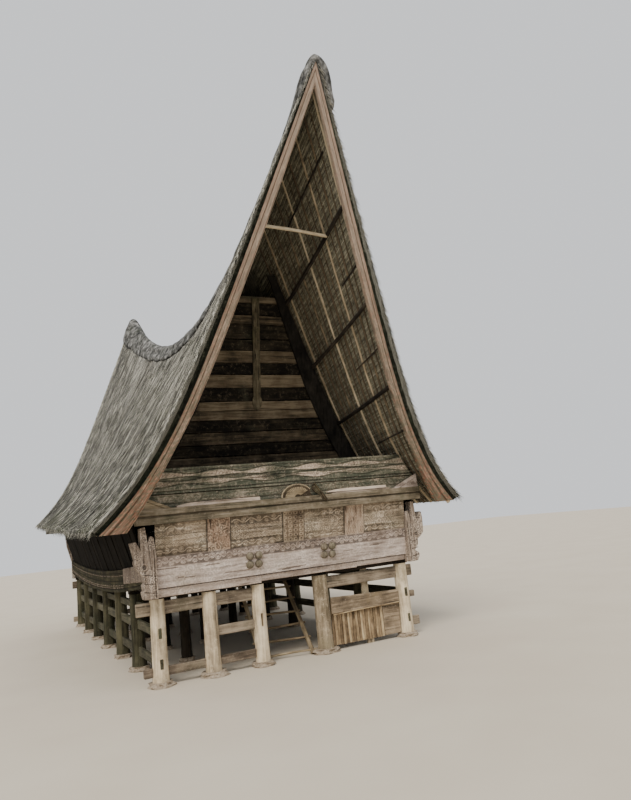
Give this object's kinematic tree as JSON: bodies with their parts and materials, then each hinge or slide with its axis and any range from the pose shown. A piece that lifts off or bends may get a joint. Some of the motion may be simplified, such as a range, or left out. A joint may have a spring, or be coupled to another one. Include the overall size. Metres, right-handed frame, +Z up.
{
  "type": "batak house",
  "caption": "Raised batak house on timber posts with carved front beams, boat-like side beams and a saddle-shaped thatched roof whose tall gables lean outward.",
  "frame": {"origin": "on the ground under the middle of the house, at the bottom centre of its box", "axes": "+Z up, front gable facing -Y, +X to the right of someone who faces the front"},
  "size_m": [8.52, 18.8645, 12.5],
  "materials": {
    "thatch": "dry sugar-palm fibre, laid in a thick coat",
    "red_brown_board": "sawn board, red-brown stain, weathered",
    "bamboo": "dried bamboo poles",
    "weathered_post": "weathered hardwood trunks",
    "dark_plank": "smoke-darkened planks",
    "grey_plank": "carved and weathered grey planks"
  },
  "bodies": {
    "root": {"front_left_frame": "weathered_post", "front_right_frame": "weathered_post", "left_fore_side_frame": "weathered_post", "left_aft_side_frame": "weathered_post", "right_fore_side_frame": "weathered_post", "right_aft_side_frame": "weathered_post", "rear_frame": "weathered_post", "inner_frame_1": "weathered_post", "inner_frame_2": "weathered_post", "inner_frame_3": "weathered_post", "inner_frame_4": "weathered_post", "inner_frame_5": "weathered_post", "floor": "dark_plank", "front_beam": "grey_plank", "rear_beam": "grey_plank", "left_corner_head": "grey_plank", "right_corner_head": "grey_plank", "left_side_beam": "grey_plank", "right_side_beam": "grey_plank", "left_side_wall": "dark_plank", "right_side_wall": "dark_plank", "front_panels": "grey_plank", "left_panel_strip": "grey_plank", "centre_panel_strip": "grey_plank", "right_panel_strip": "grey_plank", "rear_panels": "grey_plank", "front_ledge_beam": "grey_plank", "rear_ledge_beam": "grey_plank", "ledge_arch": "grey_plank", "left_ledge_end": "grey_plank", "right_ledge_end": "grey_plank", "left_ledge_plank": "grey_plank", "right_ledge_plank": "grey_plank", "front_loft_boards": "grey_plank", "rear_loft_boards": "grey_plank", "front_loft_floor": "dark_plank", "rear_loft_floor": "dark_plank", "front_gable_wall": "dark_plank", "rear_gable_wall": "dark_plank", "gable_centre_plank": "grey_plank", "left_thatch": "thatch", "right_thatch": "thatch", "ridge_cap": "thatch", "left_roof_frame": "bamboo", "right_roof_frame": "bamboo", "front_left_barge_board": "red_brown_board", "front_right_barge_board": "red_brown_board", "rear_left_barge_board": "red_brown_board", "rear_right_barge_board": "red_brown_board", "verge_tie_bar": "bamboo", "ladder": "bamboo", "pen_plank": "grey_plank", "pen_wall": "grey_plank", "pen_post": "grey_plank"}
  },
  "joints": []
}
